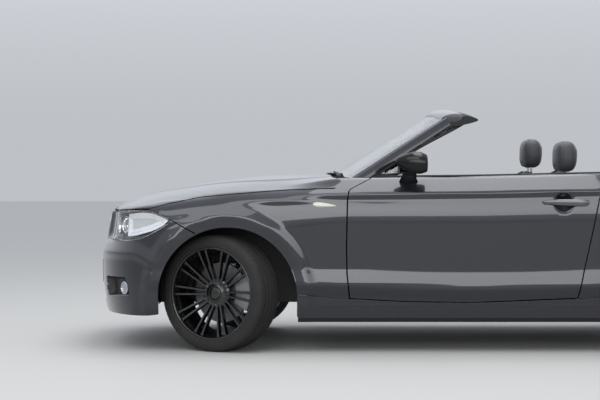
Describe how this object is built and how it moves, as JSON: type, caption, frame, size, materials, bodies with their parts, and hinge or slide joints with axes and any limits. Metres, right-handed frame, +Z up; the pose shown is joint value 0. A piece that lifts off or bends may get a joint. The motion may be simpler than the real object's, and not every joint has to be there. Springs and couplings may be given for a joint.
{
  "type": "convertible car",
  "caption": "Two-door convertible car with the roof stowed, doors, bonnet and boot lid that open, steered front wheels and rolling wheels",
  "frame": {"origin": "on the ground under the middle of the car's overall box", "axes": "+X forward, +Y to the car's left, +Z up"},
  "size_m": [4.36, 1.956, 1.32],
  "materials": {
    "body_paint": "graphite grey metallic with clear coat",
    "chrome_trim": "bright chrome frame, dark slats",
    "headlamp": "clear cover over bright reflectors",
    "tail_lamp": "red lens",
    "mirror_housing": "gloss black",
    "body_structure": "primed and carpeted structure",
    "black_plastic": "grained black plastic",
    "glass": "clear laminated glass",
    "interior_plastic": "soft dark grey grained skin",
    "leather": "dark grey grained leather",
    "cast_metal": "bare cast metal",
    "steel": "plain steel",
    "wheel_black": "gloss black alloy wheel",
    "tyre": "black rubber"
  },
  "bodies": {
    "root": {"kidney_grille": "chrome_trim", "front_bumper": "body_paint", "rear_bumper": "body_paint", "soft_top_cover": "body_paint", "body_floor": "body_structure", "boot_floor": "body_structure", "front_frame": "body_structure", "windscreen_frame": "body_paint", "windscreen_glass": "glass", "cowl": "black_plastic", "dashboard": "interior_plastic", "steering_wheel": "interior_plastic", "console": "interior_plastic", "rear_seat": "leather", "interior_mirror": "mirror_housing", "wipers": "black_plastic", "engine": "cast_metal", "exhaust": "steel", "front_axle": "cast_metal", "rear_axle": "cast_metal", "front_fender_left": "body_paint", "front_fender_right": "body_paint", "headlight_left": "headlamp", "headlight_right": "headlamp", "quarter_panel_left": "body_paint", "quarter_panel_right": "body_paint", "tail_lamp_left": "tail_lamp", "tail_lamp_right": "tail_lamp", "side_sill_left": "body_paint", "side_sill_right": "body_paint", "front_wheel_liner_left": "black_plastic", "front_wheel_liner_right": "black_plastic", "rear_wheel_liner_left": "black_plastic", "rear_wheel_liner_right": "black_plastic", "door_hinges_left": "steel", "door_hinges_right": "steel", "seat_front_left": "leather", "seat_front_right": "leather", "rear_caliper_left": "steel", "rear_caliper_right": "steel"},
    "bonnet": {"bonnet": "body_paint"},
    "boot_lid": {"boot_lid": "body_paint"},
    "door_left": {"door_left": "body_paint", "door_mirror_left": "mirror_housing", "door_handle_left": "body_paint"},
    "knuckle_left": {"knuckle_left": "cast_metal", "front_caliper_left": "steel"},
    "wheel_front_left": {"front_wheel_left": "wheel_black", "front_tyre_left": "tyre"},
    "wheel_rear_left": {"rear_wheel_left": "wheel_black", "rear_tyre_left": "tyre"},
    "door_right": {"door_right": "body_paint", "door_mirror_right": "mirror_housing", "door_handle_right": "body_paint"},
    "knuckle_right": {"knuckle_right": "cast_metal", "front_caliper_right": "steel"},
    "wheel_front_right": {"front_wheel_right": "wheel_black", "front_tyre_right": "tyre"},
    "wheel_rear_right": {"rear_wheel_right": "wheel_black", "rear_tyre_right": "tyre"}
  },
  "joints": [
    {"name": "bonnet_open", "type": "hinge", "parent": "root", "child": "bonnet", "pos_m": [0.845, 0, 0.955], "axis": [0, -1, 0], "range_deg": [0, 50]},
    {"name": "boot_lid_open", "type": "hinge", "parent": "root", "child": "boot_lid", "pos_m": [-1.55, 0, 0.99], "axis": [0, 1, 0], "range_deg": [0, 75]},
    {"name": "door_left_open", "type": "hinge", "parent": "root", "child": "door_left", "pos_m": [0.755, 0.806, 0.6], "axis": [0, 0, -1], "range_deg": [0, 65]},
    {"name": "door_right_open", "type": "hinge", "parent": "root", "child": "door_right", "pos_m": [0.755, -0.806, 0.6], "axis": [0, 0, 1], "range_deg": [0, 65]},
    {"name": "steer_left", "type": "hinge", "parent": "root", "child": "knuckle_left", "pos_m": [1.437, 0.655, 0.311], "axis": [0, 0, 1], "range_deg": [-7, 63]},
    {"name": "steer_right", "type": "hinge", "parent": "root", "child": "knuckle_right", "pos_m": [1.437, -0.655, 0.311], "axis": [0, 0, 1], "range_deg": [-7, 63]},
    {"name": "wheel_front_left_spin", "type": "hinge", "parent": "knuckle_left", "child": "wheel_front_left", "pos_m": [1.47784, 0.73182, 0.311], "axis": [0.4695, 0.8829, 0], "continuous": true},
    {"name": "wheel_front_right_spin", "type": "hinge", "parent": "knuckle_right", "child": "wheel_front_right", "pos_m": [1.39616, -0.73182, 0.311], "axis": [0.4695, 0.8829, 0], "continuous": true},
    {"name": "wheel_rear_left_spin", "type": "hinge", "parent": "root", "child": "wheel_rear_left", "pos_m": [-1.223, 0.75, 0.311], "axis": [0, 1, 0], "continuous": true},
    {"name": "wheel_rear_right_spin", "type": "hinge", "parent": "root", "child": "wheel_rear_right", "pos_m": [-1.223, -0.75, 0.311], "axis": [0, 1, 0], "continuous": true}
  ],
  "couplings": [
    {"joint": "steer_right", "follows": "steer_left", "ratio": 1}
  ]
}
